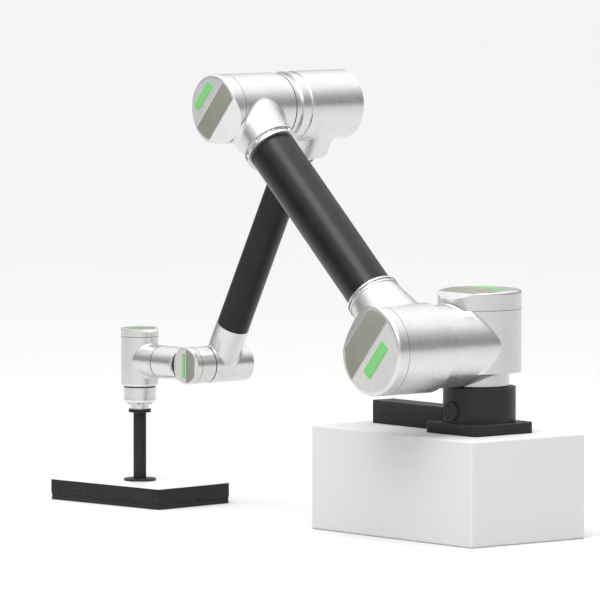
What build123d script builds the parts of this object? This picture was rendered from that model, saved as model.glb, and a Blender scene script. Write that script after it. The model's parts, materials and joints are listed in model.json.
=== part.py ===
from build123d import *
import os
from math import cos, sin, tan, radians

# Six-axis collaborative robot arm with a vacuum gripper on its tool flange.
# Row frame in millimetres: origin at the centre of the base plate's underside, +Z up along joint 1,
# +X the way the arm reaches, +Y the side that the round joint caps face.
# All places are given in the stored working pose, which is the zero of every joint.

# ---- kinematic layout ----
J2_Z = 190.0            # height of the shoulder axis (joint 2, along Y)
UPPER_Y = 198.0         # plane of the upper arm tube
UPPER_LENGTH = 740.0    # shoulder axis to elbow axis
UPPER_RISE = 41.4       # degrees above the horizontal
FORE_Y = 4.0            # plane of the forearm tube
FORE_LENGTH = 672.0     # elbow axis to wrist axis
FORE_DIP = 61.1         # degrees below the horizontal
WRIST_Y = 73.5          # plane of wrist 1 and wrist 2
WRIST_LENGTH = 197.0    # joint 4 axis to joint 6 axis

# ---- common clearances ----
GAP = 3.0               # gap between two housings at a joint, filled by the seal
SEAL_THICK = 2.4        # seal ring in that gap
RUN = 0.3               # radial clearance of an output hub in its bore
SEAT = 0.1              # radial clearance of a tube in its socket
WALL = 9.0              # housing wall
WRIST_WALL = 6.0        # thinner wall of the wrist housings
FLOOR = 10.0            # thickness of the wall that carries a joint's bearing
FLANGE_PLATE = 8.0      # thickness of a joint's output flange
JOINT_CLEAR = 1.5       # radial clearance of a link's neck round the neighbouring stub
BLEND = 14.0            # rounding where a link's neck meets its joint drum
SHOULDER_BLEND = 14.0   # the same where the shoulder's two drums cross
CAP_NOTCH = 6.0         # clearance cut into that seam round joint 1's cap
WRIST_BLEND = 8.0       # the same where the forearm meets the wrist
SMALL_BLEND = 4.0       # the same on wrist 1 and wrist 2

# ---- base ----
PLATE_SIDE = 168.0
PLATE_THICK = 24.0
PLATE_CORNER = 14.0
BASE_BOLT_SPACING = 136.0
BASE_BOLT_RADIUS = 5.5
BASE_BORE = 30.0
COLUMN_RADIUS = 78.0
COLUMN_TOP = 100.0
COLUMN_CAVITY = 66.0
COLUMN_ROOF = 12.0      # thickness of the column's top wall
COLUMN_PCD = 104.0      # bolt circle under that wall
PORT_Z = 50.0
PORT_RADIUS = 21.0
PORT_DEPTH = 12.0       # how far the port's boss reaches into the column
PORT_PROUD = 2.0        # and how far it stands proud of it
PORT_WALL = 6.0
BOX_END_X = 322.0
BOX_WIDTH = 60.0
BOX_HEIGHT = 50.0
BOX_LID = 5.0
BOX_WALL = 5.0
GLAND_THREAD = 7.7
GLAND_BACKS = (28.0, 60.0)  # distances of the cable glands from the box's end

# ---- joint modules: drum and hub radii, and where each housing ends ----
J1_DRUM = 90.0
J1_NECK = 64.0
J1_DRUM_BOTTOM = 132.0
J1_TOP = 308.0
J1_CAP = 41.0           # height of the cap on joint 1
J1_HUB = 40.0
J2_DRUM = 96.0
J2_STUB = 89.0
J2_FACE = 149.0         # Y where the shoulder stub ends
J2_CAP_Y = 306.0
J2_CAP = 30.0
J2_HUB = 45.0
J3_DRUM = 75.0
J3_FLANGE = 71.0
J3_FACE = 108.0         # Y where the upper arm's elbow housing ends
J3_CAP_Y = 285.0
J3_CAP = 34.0
J3_HUB = 38.0
FORE_DRUM = 76.0
FORE_END_Y = -82.0
FORE_COVER = 12.0       # cover on the forearm's elbow housing
FORE_RING_Y = 64.0      # Y where the turned ring starts, towards the upper arm
FORE_RING_STEP = 2.5    # how far that ring is set in
FORE_RING_WIDTH = 22.0
FORE_DRUM_END_Y = 90.0  # Y where the drum steps down to its joint flange
J4_DRUM = 41.0
J4_FACE = 43.0          # Y where the forearm's wrist housing ends
J4_CAP_Y = 103.0
J4_CAP = 19.0
J4_END_Y = -65.0
J4_COVER = 10.0         # cover on the forearm's wrist housing
J4_HUB = 20.0
J4_HUB_LENGTH = 40.0
J5_TUBE = 37.0
J5_FACE = 112.0         # distance from joint 4 to the end of wrist 1
J5_HUB = 14.0
J5_HUB_LENGTH = 30.0
J6_DRUM = 42.0
J6_TOP = 72.0           # above joint 5's axis
J6_CAP = 19.0
J6_FACE = -58.0         # below joint 5's axis
J6_ROUND = 6.0          # rounding of the drum's lower edge
J6_HUB = 16.0
J6_HUB_LENGTH = 34.0
CAP_EDGE = 0.08         # rounding of a cap's rim, as a share of its radius
BAR_THICK = 1.2         # how far a cap's bar stands proud
FACET_TILT = 4.0        # degrees that a cap's inner half falls away from the ridge
LEDGE_TILT = 28.0       # degrees that it falls away beyond the ledge

# ---- link tubes ----
UPPER_TUBE = 52.0
UPPER_TUBE_WALL = 5.0
UPPER_TUBE_START = 160.0    # distances from the shoulder axis
UPPER_TUBE_END = 606.0
UPPER_COLLAR = 60.0
LOWER_COLLAR_LENGTH = 12.0
UPPER_COLLAR_LENGTH = 20.0
SHOULDER_NECK = (80.0, 58.0)    # radii of the tapering neck, at the drum and at the tube
SHOULDER_NECK_START = 30.0
ELBOW_NECK = (57.0, 66.0)       # radii at the tube and at the drum
ELBOW_NECK_END = 716.0
ELBOW_STEP = 14.0               # width of the turned step where the elbow housing meets the forearm
UPPER_CHANNEL = 38.0            # cable channel through the two necks
FORE_TUBE = 36.0
FORE_TUBE_WALL = 4.0
FORE_TUBE_END = 571.0           # distances from the elbow axis
FORE_NECK = 66.0
FORE_NECK_END = 97.0
FORE_BLEND = 11.0
BEARING_DEPTH = 31.0            # solid part of the elbow housing round the output bearing
FORE_TAPER = 15.0               # length of the taper from the neck to the collar
FORE_COLLAR = 43.0
FORE_COLLAR_LENGTH = 14.0
FORE_SOCKET = 16.0              # how far the forearm tube runs into the elbow housing
FORE_CHANNEL = 28.0
WRIST_BORE = 34.5               # bore of the wrist housing where the forearm tube meets it
WRIST_SOCKET = 25.0             # and its depth
WRIST_CHANNEL = 24.0
SOCKET = 30.0                   # how far the upper arm tube runs into its housings

# ---- tool flange and vacuum gripper ----
FLANGE_RADIUS = 36.5
FLANGE_THICK = 11.0
FLANGE_BORE = 7.0
ADAPTER_THICK = 23.0
ADAPTER_GROOVE = 3.0
ADAPTER_ROUND = 6.0          # rounding of its lower edge
ADAPTER_NECK = 20.5
ADAPTER_NECK_LENGTH = 15.0
TOOL_PCD = 50.0
POLE_RADIUS = 14.5
POLE_FLANGE = 25.0
POLE_FLANGE_THICK = 7.0
DISC_RADIUS = 36.0
DISC_THICK = 5.0
GRIP_X = 350.0
GRIP_Y = 221.0
GRIP_TURN = 5.6             # degrees that the gripper is turned about joint 6
GRIP_TOP = -179.5           # height of the gripper's top plate
GRIP_PLATE = 1.5
GRIP_BOX = 30.0
GRIP_BOX_FLOOR = 4.0
GRIP_FOAM = 15.0
GRIP_WALL = 6.0
AIR_BORE = 5.0              # air channel through the pole and the top plate

# ---- derived places ----
UPPER_DIR = Vector(cos(radians(UPPER_RISE)), 0, sin(radians(UPPER_RISE)))
FORE_DIR = Vector(cos(radians(FORE_DIP)), 0, -sin(radians(FORE_DIP)))
SHOULDER = Vector(0, UPPER_Y, J2_Z)
ELBOW = SHOULDER + UPPER_DIR * UPPER_LENGTH
ELBOW_FORE = Vector(ELBOW.X, FORE_Y, ELBOW.Z)
WRIST_FORE = ELBOW_FORE + FORE_DIR * FORE_LENGTH
WRIST = Vector(WRIST_FORE.X, WRIST_Y, WRIST_FORE.Z)
TOOL = WRIST + Vector(WRIST_LENGTH, 0, 0)
UP = Vector(0, 0, 1)
DOWN = Vector(0, 0, -1)
LEFT = Vector(0, 1, 0)
RIGHT = Vector(0, -1, 0)
AHEAD = Vector(1, 0, 0)
BACK = Vector(-1, 0, 0)
BOX_START_X = PLATE_SIDE / 2 + 0.5
J1_CAP_Z = J1_TOP - J1_CAP
J2_CAP_START = J2_CAP_Y - J2_CAP
J3_CAP_START = J3_CAP_Y - J3_CAP
J4_CAP_START = J4_CAP_Y - J4_CAP
J6_CAP_START = J6_TOP - J6_CAP
FORE_FACE = J3_FACE - GAP
FORE_COLLAR_START = FORE_NECK_END + FORE_TAPER
FORE_TUBE_START = FORE_COLLAR_START - FORE_SOCKET


# ---- shared shapes ----
def rod(start, direction, radius, length):
    """Round bar that starts at a point and runs along a direction."""
    align = (Align.CENTER, Align.CENTER, Align.MIN)
    return Plane(origin=start, z_dir=direction) * Cylinder(radius, length, align=align)


def ring(start, direction, outer, inner, length):
    """Round bar with a hole through it."""
    return rod(start, direction, outer, length) - rod(start, direction, inner, length)


def taper(start, direction, first, last, length):
    """Cone frustum that starts at a point and runs along a direction."""
    align = (Align.CENTER, Align.CENTER, Align.MIN)
    return Plane(origin=start, z_dir=direction) * Cone(first, last, length, align=align)


def at_y(point, y):
    """The point moved along Y to a given plane."""
    return Vector(point.X, y, point.Z)


def along_upper(distance):
    """Point on the upper arm's centre line."""
    return SHOULDER + UPPER_DIR * distance


def along_fore(distance):
    """Point on the forearm's centre line."""
    return ELBOW_FORE + FORE_DIR * distance


def blended(body, radius):
    """Rounds the seam where two round bodies cross, as a casting is."""
    seams = [edge for edge in body.edges() if edge.geom_type == GeomType.BSPLINE]
    return fillet(seams, radius)


def link_end(neck, point, start, end, drum, radius):
    """A link's neck on its joint drum: the seam is rounded, and both neighbours of the drum have room."""
    body = neck + rod(at_y(point, start - drum), LEFT, drum, end - start + 2 * drum)
    body = blended(body, radius)
    body -= rod(at_y(point, start - 2 * drum), LEFT, drum + JOINT_CLEAR, 2 * drum)
    return body - rod(at_y(point, end), LEFT, drum + JOINT_CLEAR, 2 * drum)


def cap(centre, axis, outward, radius, height, ridge, ledge):
    """Round joint cap: a flat outer half with a ridge, and an inner half that falls away in two facets.

    centre is on the cap's inner face, outward points across the flat half, and ridge and ledge are
    shares of the radius measured from the axis along outward.
    """
    first_slope = tan(radians(FACET_TILT))
    second_slope = tan(radians(LEDGE_TILT))
    ridge_x = ridge * radius
    ledge_x = ledge * radius
    ledge_z = height - (ridge_x - ledge_x) * first_slope
    edge_z = ledge_z - (radius + ledge_x) * second_slope
    far = -radius - 1
    outline = Polyline(
        (ridge_x, height), (ledge_x, ledge_z), (far, edge_z - second_slope), (far, height + 1),
        (ridge_x, height + 1), close=True)
    wedge = extrude(Plane.XZ * make_face(outline), amount=2 * radius, both=True)
    align = (Align.CENTER, Align.CENTER, Align.MIN)
    disc = Cylinder(radius, height, align=align)
    rim = disc.edges().group_by(Axis.Z)[-1]
    disc = fillet(rim, CAP_EDGE * radius)
    recess = Cylinder(radius - WALL, height * 0.25, align=align)
    body = disc - wedge - recess
    return Plane(origin=centre, x_dir=outward, z_dir=axis) * body


def cap_bar(centre, axis, outward, radius, height, offset, length, width):
    """Plain inlaid bar on a cap's flat half, along the ridge."""
    face = Plane(origin=centre, x_dir=outward, z_dir=axis)
    bar = extrude(RectangleRounded(width, length, width * 0.2), amount=BAR_THICK)
    return face * (Pos(offset * radius, 0, height) * bar)


def reducer(start, axis, outer, inner, length):
    """Closed strain-wave reducer with its output bearing: a stepped ring."""
    body = ring(start, axis, outer, inner, length * 0.6)
    return body + ring(start + axis * (length * 0.6), axis, outer * 0.86, inner, length * 0.4)


def motor(start, axis, outer, inner, length):
    """Frameless motor: a stator ring with a separate rotor ring inside it."""
    split = inner + (outer - inner) * 0.45
    stator = ring(start, axis, outer, split + 0.5, length)
    rotor = ring(start + axis * (length * 0.1), axis, split, inner, length * 0.8)
    return Compound(children=[stator, rotor])


def screw_head(point, direction, radius, height):
    """Socket-head cap screw head with a hexagon socket."""
    head = rod(point, direction, radius, height)
    socket = extrude(RegularPolygon(radius * 0.5, 6), amount=height * 0.6)
    top = Plane(origin=point + direction * (height * 0.4 + 0.01), z_dir=direction)
    return head - top * socket


def screws_on_circle(centre, axis, pcd, count, radius, height, phase=0.0):
    """Heads of equal screws on a bolt circle."""
    face = Plane(origin=centre, z_dir=axis)
    heads = []
    for index in range(count):
        angle = radians(phase + 360.0 * index / count)
        spot = face.from_local_coords(Vector(pcd / 2 * cos(angle), pcd / 2 * sin(angle), 0))
        heads.append(screw_head(spot, axis, radius, height))
    return Compound(children=heads)


# ---- base ----
def base_plate():
    body = extrude(RectangleRounded(PLATE_SIDE, PLATE_SIDE, PLATE_CORNER), amount=PLATE_THICK)
    body -= rod(Vector(0, 0, 0), UP, BASE_BORE, PLATE_THICK)
    half = BASE_BOLT_SPACING / 2
    for x in (-half, half):
        for y in (-half, half):
            body -= rod(Vector(x, y, 0), UP, BASE_BOLT_RADIUS, PLATE_THICK)
    return chamfer(body.faces().sort_by(Axis.Z)[-1].outer_wire().edges(), 1.5)


def base_column():
    body = rod(Vector(0, 0, PLATE_THICK), UP, COLUMN_RADIUS, COLUMN_TOP - PLATE_THICK)
    body = chamfer(body.edges().sort_by(Axis.Z)[-1], 1.5)
    body -= rod(Vector(0, 0, PLATE_THICK), UP, COLUMN_CAVITY, COLUMN_TOP - PLATE_THICK - COLUMN_ROOF)
    body -= rod(Vector(0, 0, PLATE_THICK), UP, J1_HUB, COLUMN_TOP - PLATE_THICK)
    body += rod(Vector(0, COLUMN_RADIUS - PORT_DEPTH, PORT_Z), LEFT, PORT_RADIUS, PORT_DEPTH + PORT_PROUD)
    bore_start = COLUMN_RADIUS - PORT_DEPTH - PORT_PROUD
    return body - rod(Vector(0, bore_start, PORT_Z), LEFT, PORT_RADIUS - PORT_WALL, COLUMN_RADIUS)


def port_cover():
    start = Vector(0, COLUMN_RADIUS + PORT_PROUD, PORT_Z)
    disc = chamfer(rod(start, LEFT, PORT_RADIUS, 4).edges().sort_by(Axis.Y)[-1], 1)
    return disc + rod(start, RIGHT, PORT_RADIUS - PORT_WALL - 0.5, 10)


def base_screws():
    start = Vector(0, 0, COLUMN_TOP - COLUMN_ROOF)
    return screws_on_circle(start, DOWN, COLUMN_PCD, 8, 5, 6, phase=22.5)


def gland_places():
    """Centres of the two cable glands, on the box's far side near its end."""
    middle = (BOX_HEIGHT - BOX_LID) / 2 + 2
    return [Vector(BOX_END_X - back, -BOX_WIDTH / 2, middle) for back in GLAND_BACKS]


def cable_box():
    length = BOX_END_X - BOX_START_X
    centre = Pos(BOX_START_X + length / 2, 0, 0)
    height = BOX_HEIGHT - BOX_LID
    body = centre * extrude(RectangleRounded(length, BOX_WIDTH, 5), amount=height)
    inside = extrude(RectangleRounded(length - 2 * BOX_WALL, BOX_WIDTH - 2 * BOX_WALL, 3), amount=height)
    body -= centre * Pos(0, 0, BOX_WALL) * inside
    for place in gland_places():
        body -= rod(place + LEFT * (BOX_WALL + 3), RIGHT, GLAND_THREAD + RUN, BOX_WALL + 4)
    return body


def cable_box_lid():
    length = BOX_END_X - BOX_START_X
    centre = Pos(BOX_START_X + length / 2, 0, BOX_HEIGHT - BOX_LID)
    lid = extrude(RectangleRounded(length, BOX_WIDTH, 5), amount=BOX_LID)
    return centre * chamfer(lid.faces().sort_by(Axis.Z)[-1].outer_wire().edges(), 1.2)


def cable_glands():
    glands = []
    for place in gland_places():
        thread = rod(place + LEFT * BOX_WALL, RIGHT, GLAND_THREAD, BOX_WALL)
        nut = Plane(origin=place, z_dir=RIGHT) * extrude(RegularPolygon(12, 6), 7)
        dome = taper(place + RIGHT * 7, RIGHT, 10.5, 7, 8)
        bore = rod(place + LEFT * (BOX_WALL + 1), RIGHT, 4.5, 30)
        glands.append(thread + nut + dome - bore)
    return Compound(children=glands)


# ---- shoulder, turns about joint 1 ----
def shoulder_housing():
    """Two crossing drums with a rounded seam, the upright one on a narrower neck below."""
    axis_point = Vector(0, 0, J2_Z)
    bottom = COLUMN_TOP + GAP
    drum_height = J1_CAP_Z - J1_DRUM_BOTTOM
    stub = rod(axis_point, LEFT, J2_STUB, J2_FACE)
    body = stub + rod(axis_point + DOWN * (1.5 * J2_STUB), UP, J1_DRUM, 3 * J2_STUB)
    body = blended(body, SHOULDER_BLEND)
    body -= rod(Vector(0, 0, J1_CAP_Z), UP, J1_DRUM + CAP_NOTCH, J2_FACE)
    body -= rod(Vector(0, 0, bottom), DOWN, J2_FACE * 2, J2_STUB)
    body -= ring(Vector(0, 0, bottom), UP, J2_FACE, J1_NECK, J1_DRUM_BOTTOM - bottom) - stub
    body -= rod(Vector(0, 0, J1_DRUM_BOTTOM + FLOOR), UP, J1_DRUM - WALL, drum_height)
    body -= rod(Vector(0, 0, bottom), UP, J1_HUB, J1_DRUM_BOTTOM)
    opening = J1_DRUM - WALL / 2
    body -= rod(Vector(0, opening, J2_Z), LEFT, J2_STUB - WALL, J2_FACE - FLOOR - opening)
    return body - rod(axis_point, LEFT, J2_HUB, J2_FACE)


# ---- upper arm, turns about joint 2 ----
def upper_arm_shoulder_housing():
    start = J2_FACE + GAP
    end = UPPER_TUBE_START - LOWER_COLLAR_LENGTH
    wide, narrow = SHOULDER_NECK
    neck = taper(along_upper(SHOULDER_NECK_START), UPPER_DIR, wide, narrow, end - SHOULDER_NECK_START)
    body = link_end(neck, SHOULDER, start, J2_CAP_START, J2_DRUM, BLEND)
    body -= rod(at_y(SHOULDER, start + FLOOR), LEFT, J2_DRUM - WALL, J2_CAP_START - start)
    body -= rod(at_y(SHOULDER, start), LEFT, J2_HUB, FLOOR)
    channel_start = 2 * SHOULDER_NECK_START
    body -= rod(along_upper(channel_start), UPPER_DIR, UPPER_CHANNEL, end - channel_start)
    return body - rod(along_upper(UPPER_TUBE_START - SOCKET), UPPER_DIR, UPPER_TUBE + SEAT, SOCKET)


def collar(centre, direction, outer, inner, length, rim):
    """Clamp ring round a tube: a groove for its screws between two rims."""
    groove = (outer + inner) / 2 - 1.5
    body = ring(centre, direction, outer, inner + SEAT, length)
    return body - ring(centre + direction * rim, direction, outer + 1, groove, length - 2 * rim)


def upper_arm_elbow_housing():
    start = UPPER_TUBE_END + UPPER_COLLAR_LENGTH
    drum_start = J3_FACE + ELBOW_STEP
    narrow, wide = ELBOW_NECK
    neck = taper(along_upper(start), UPPER_DIR, narrow, wide, ELBOW_NECK_END - start)
    body = link_end(neck, ELBOW, drum_start, J3_CAP_START, J3_DRUM, BLEND)
    body += rod(at_y(ELBOW, J3_FACE), LEFT, J3_FLANGE, ELBOW_STEP + FLOOR)
    body -= rod(at_y(ELBOW, J3_FACE + FLOOR), LEFT, J3_FLANGE - WALL, J3_CAP_START - J3_FACE)
    body -= rod(at_y(ELBOW, J3_FACE), LEFT, J3_HUB, FLOOR)
    body -= rod(along_upper(start), UPPER_DIR, UPPER_CHANNEL, UPPER_LENGTH - J3_FLANGE + WALL - start)
    return body - rod(along_upper(start), UPPER_DIR, UPPER_TUBE + SEAT, SOCKET - UPPER_COLLAR_LENGTH)


# ---- forearm, turns about joint 3 ----
def forearm_elbow_housing():
    """Elbow drum of the forearm, with a turned ring that runs out at the rounded foot of the neck."""
    back = FORE_END_Y + FORE_COVER
    neck = rod(ELBOW_FORE, FORE_DIR, FORE_NECK, FORE_NECK_END)
    body = link_end(neck, ELBOW, back, FORE_DRUM_END_Y, FORE_DRUM, FORE_BLEND)
    body -= rod(at_y(ELBOW, back), RIGHT, 2 * FORE_DRUM, FORE_DRUM)
    turned = ring(
        at_y(ELBOW, FORE_RING_Y), LEFT, FORE_DRUM + 1, FORE_DRUM - FORE_RING_STEP, FORE_RING_WIDTH)
    body -= turned - rod(ELBOW_FORE, FORE_DIR, FORE_NECK + FORE_BLEND + 1, FORE_NECK_END)
    body += rod(at_y(ELBOW, FORE_DRUM_END_Y), LEFT, J3_FLANGE, FORE_FACE - FORE_DRUM_END_Y)
    body += taper(along_fore(FORE_NECK_END), FORE_DIR, FORE_NECK, FORE_COLLAR, FORE_TAPER)
    inner_end = FORE_FACE - BEARING_DEPTH
    body -= rod(at_y(ELBOW, back), LEFT, FORE_DRUM - WALL, inner_end - back)
    body -= rod(at_y(ELBOW, inner_end), LEFT, J3_HUB, BEARING_DEPTH)
    channel_start = FORE_DRUM - 2 * WALL
    body -= rod(along_fore(channel_start), FORE_DIR, FORE_CHANNEL, FORE_TUBE_START + 1 - channel_start)
    return body - rod(along_fore(FORE_TUBE_START), FORE_DIR, FORE_TUBE + SEAT, FORE_SOCKET)


def end_cover(centre, axis, radius, thick):
    """Plain round cover with a raised centre and a rounded rim."""
    disc = rod(centre, axis, radius, thick * 0.7)
    raised = taper(centre + axis * (thick * 0.7), axis, radius * 0.86, radius * 0.8, thick * 0.3)
    return disc + raised


def forearm_wrist_housing():
    back = J4_END_Y + J4_COVER
    neck = rod(along_fore(FORE_TUBE_END), FORE_DIR, FORE_TUBE + 1, FORE_LENGTH - FORE_TUBE_END)
    body = link_end(neck, WRIST, back, J4_FACE, J4_DRUM, WRIST_BLEND)
    body -= rod(at_y(WRIST, J4_FACE), LEFT, 2 * J4_DRUM, J4_DRUM)
    body -= rod(at_y(WRIST, back), LEFT, J4_DRUM - WRIST_WALL, J4_FACE - FLOOR - back)
    body -= rod(at_y(WRIST, J4_FACE - FLOOR), LEFT, J4_HUB, FLOOR)
    channel_end = FORE_LENGTH - 2 * FLOOR
    body -= rod(along_fore(FORE_TUBE_END), FORE_DIR, WRIST_CHANNEL, channel_end - FORE_TUBE_END)
    return body - rod(along_fore(FORE_TUBE_END), FORE_DIR, WRIST_BORE, WRIST_SOCKET)


# ---- wrist 1, turns about joint 4 ----
def wrist_1_housing():
    start = J4_FACE + GAP
    neck = rod(WRIST, AHEAD, J5_TUBE, J5_FACE)
    body = link_end(neck, WRIST, start, J4_CAP_START, J4_DRUM, SMALL_BLEND)
    body -= rod(at_y(WRIST, start + FLOOR), LEFT, J4_DRUM - WRIST_WALL, J4_CAP_START - start)
    inside = J5_TUBE
    body -= rod(WRIST + AHEAD * inside, AHEAD, J5_TUBE - WRIST_WALL + 1, J5_FACE - FLOOR - inside)
    body -= rod(WRIST + AHEAD * inside, AHEAD, J5_HUB, J5_FACE)
    hub = ring(at_y(WRIST, J4_FACE - J4_HUB_LENGTH), LEFT, J4_HUB - RUN, J4_HUB / 2, J4_HUB_LENGTH + GAP)
    return body + hub - rod(at_y(WRIST, start - GAP), LEFT, J4_HUB / 2, FLOOR + 2 * GAP)


# ---- wrist 2, turns about joint 5 ----
def wrist_2_housing():
    bottom = TOOL + UP * J6_FACE
    start = WRIST + AHEAD * (J5_FACE + GAP)
    drum = rod(bottom, UP, J6_DRUM, J6_CAP_START - J6_FACE)
    body = fillet(drum.edges().sort_by(Axis.Z)[0], J6_ROUND)
    body += rod(start, AHEAD, J5_TUBE, WRIST_LENGTH - J5_FACE - GAP)
    body = blended(body, SMALL_BLEND)
    body -= rod(bottom + UP * FLOOR, UP, J6_DRUM - WRIST_WALL, J6_CAP_START - J6_FACE)
    body -= rod(bottom, UP, J6_HUB, FLOOR)
    body -= rod(start, AHEAD, J5_HUB / 2, WRIST_LENGTH - J5_FACE - J6_DRUM)
    hub_start = WRIST + AHEAD * (J5_FACE - J5_HUB_LENGTH)
    return body + ring(hub_start, AHEAD, J5_HUB - RUN, J5_HUB / 2, J5_HUB_LENGTH + GAP)


# ---- wrist 3 and gripper, turn about joint 6 ----
FLANGE_TOP = J6_FACE - GAP
ADAPTER_TOP = FLANGE_TOP - FLANGE_THICK
POLE_TOP = ADAPTER_TOP - ADAPTER_THICK - ADAPTER_NECK_LENGTH


def tool_flange():
    bottom = TOOL + UP * (FLANGE_TOP - FLANGE_THICK)
    body = rod(bottom, UP, FLANGE_RADIUS, FLANGE_THICK)
    body += rod(TOOL + UP * FLANGE_TOP, UP, J6_HUB - RUN, J6_HUB_LENGTH)
    return body - rod(bottom, UP, FLANGE_BORE, FLANGE_THICK + J6_HUB_LENGTH)


def tool_adapter():
    """Two discs with a turned groove between them, on a short neck."""
    top = TOOL + UP * ADAPTER_TOP
    body = rod(top, DOWN, FLANGE_RADIUS - 0.5, ADAPTER_THICK)
    body = fillet(body.edges().sort_by(Axis.Z)[0], ADAPTER_ROUND)
    groove_start = top + DOWN * (ADAPTER_THICK * 0.45)
    body -= ring(groove_start, DOWN, FLANGE_RADIUS, FLANGE_RADIUS - 2.5, ADAPTER_GROOVE)
    body += rod(top + DOWN * ADAPTER_THICK, DOWN, ADAPTER_NECK, ADAPTER_NECK_LENGTH)
    return body - rod(top, DOWN, FLANGE_BORE, ADAPTER_THICK + ADAPTER_NECK_LENGTH)


def adapter_screws():
    face = TOOL + UP * (ADAPTER_TOP - ADAPTER_THICK)
    return screws_on_circle(face, DOWN, TOOL_PCD, 4, 3.6, 4, phase=45)


def gripper_pole():
    top = TOOL + UP * POLE_TOP
    length = POLE_TOP - (GRIP_TOP - TOOL.Z)
    body = rod(top, DOWN, POLE_FLANGE, POLE_FLANGE_THICK)
    body += rod(top, DOWN, POLE_RADIUS, length)
    body += rod(top + DOWN * length, UP, DISC_RADIUS, DISC_THICK)
    return body - rod(top, DOWN, AIR_BORE, length)


def grip_slab(top, thick, inset, corner):
    """Rounded slab on the gripper's centre line, turned with the gripper."""
    face = Plane(origin=Vector(TOOL.X, TOOL.Y, top - thick)).rotated((0, 0, GRIP_TURN))
    return face * extrude(RectangleRounded(GRIP_X - 2 * inset, GRIP_Y - 2 * inset, corner), amount=thick)


def gripper_plate():
    body = grip_slab(GRIP_TOP, GRIP_PLATE, 0.0, 4)
    return body - rod(Vector(TOOL.X, TOOL.Y, GRIP_TOP - GRIP_PLATE), UP, AIR_BORE, GRIP_PLATE)


def gripper_box():
    body = grip_slab(GRIP_TOP - GRIP_PLATE, GRIP_BOX, 0.5, 4)
    return body - grip_slab(GRIP_TOP - GRIP_PLATE, GRIP_BOX - GRIP_BOX_FLOOR, GRIP_WALL, 3)


def gripper_foam():
    return grip_slab(GRIP_TOP - GRIP_PLATE - GRIP_BOX, GRIP_FOAM, 1.5, 4)


# ---- all pieces ----
def caps():
    """Every joint cap with its bar.

    Each row: centre, axis, outward, radius, height, ridge, ledge, then the bar's offset, length and width.
    """
    rows = {
        "shoulder": (Vector(0, 0, J1_CAP_Z), UP, RIGHT, J1_DRUM, J1_CAP, 0.0, -0.72, 0.35, 84, 24),
        "upper_arm": (
            at_y(SHOULDER, J2_CAP_START), LEFT, -UPPER_DIR, J2_DRUM, J2_CAP, 0.0, -0.72, 0.27, 92, 26),
        "elbow": (at_y(ELBOW, J3_CAP_START), LEFT, UPPER_DIR, J3_DRUM, J3_CAP, 0.22, -0.45, 0.56, 74, 18),
        "wrist_1": (at_y(WRIST, J4_CAP_START), LEFT, AHEAD, J4_DRUM, J4_CAP, -0.08, -0.8, 0.08, 54, 8),
        "wrist_2": (TOOL + UP * J6_CAP_START, UP, AHEAD, J6_DRUM, J6_CAP, 0.0, -0.72, 0.35, 40, 11),
    }
    pieces = {}
    for name, (centre, axis, outward, radius, height, ridge, ledge, offset, length, width) in rows.items():
        pieces[name + "_cap"] = cap(centre, axis, outward, radius, height, ridge, ledge)
        pieces[name + "_cap_bar"] = cap_bar(centre, axis, outward, radius, height, offset, length, width)
    return pieces


def seals():
    """Rubber rings that fill the gap between two housings, carried on the far housing of each joint."""
    rows = {
        "j1_seal": (Vector(0, 0, COLUMN_TOP + GAP - SEAL_THICK), UP, J1_NECK - 1, 50),
        "j2_seal": (at_y(SHOULDER, J2_FACE + GAP - SEAL_THICK), LEFT, J2_STUB - 2, 60),
        "j3_seal": (at_y(ELBOW, FORE_FACE), LEFT, J3_FLANGE - 2, 50),
        "j4_seal": (at_y(WRIST, J4_FACE + GAP - SEAL_THICK), LEFT, J4_DRUM - 1.5, 28),
        "j5_seal": (WRIST + AHEAD * (J5_FACE + GAP - SEAL_THICK), AHEAD, J5_TUBE - 1.5, 22),
        "j6_seal": (TOOL + UP * FLANGE_TOP, UP, FLANGE_RADIUS - 1.5, 22),
    }
    return {name: ring(start, axis, outer, inner, SEAL_THICK)
            for name, (start, axis, outer, inner) in rows.items()}


def output_flanges():
    """Driven flange of joints 1 to 3, whose hub reaches through the bearing into the next housing.

    Each row: start, axis, radii of flange, hub and bore, then the hub's length.
    """
    rows = {
        "j1_output_flange": (Vector(0, 0, COLUMN_TOP - 20), UP, 45, J1_HUB - RUN, 24, 88),
        "j2_output_flange": (at_y(SHOULDER, J2_FACE - 18), LEFT, 70, J2_HUB - RUN, 28, 70),
        "j3_output_flange": (at_y(ELBOW, FORE_FACE - 39), LEFT, 58, J3_HUB - RUN, 24, 82),
    }
    return {name: ring(start, axis, flange, bore, FLANGE_PLATE) + ring(start, axis, hub, bore, length)
            for name, (start, axis, flange, hub, bore, length) in rows.items()}


def drives():
    """Reducer and motor of each joint: start, axis, outer and inner radius, reducer and motor length."""
    seat = FLOOR + 1
    rows = {
        "j1": (Vector(0, 0, J1_DRUM_BOTTOM + seat), UP, 79, J1_HUB, 34, 46),
        "j2": (at_y(SHOULDER, J2_FACE + GAP + seat), LEFT, 85, J2_HUB, 38, 36),
        "j3": (at_y(ELBOW, J3_FACE + seat), LEFT, 61, J3_HUB, 34, 44),
        "j4": (at_y(WRIST, J4_FACE - seat), RIGHT, 34, J4_HUB, 28, 34),
        "j5": (WRIST + AHEAD * (J5_FACE - seat), BACK, J5_TUBE - WRIST_WALL, J5_HUB, 24, 26),
        "j6": (TOOL + UP * (J6_FACE + seat), UP, 35, J6_HUB, 26, 34),
    }
    pieces = {}
    for name, (start, axis, outer, inner, first, second) in rows.items():
        pieces[name + "_reducer"] = reducer(start, axis, outer, inner, first)
        pieces[name + "_motor"] = motor(start + axis * (first + 4), axis, outer - 3, inner * 0.6, second)
    return pieces


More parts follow.
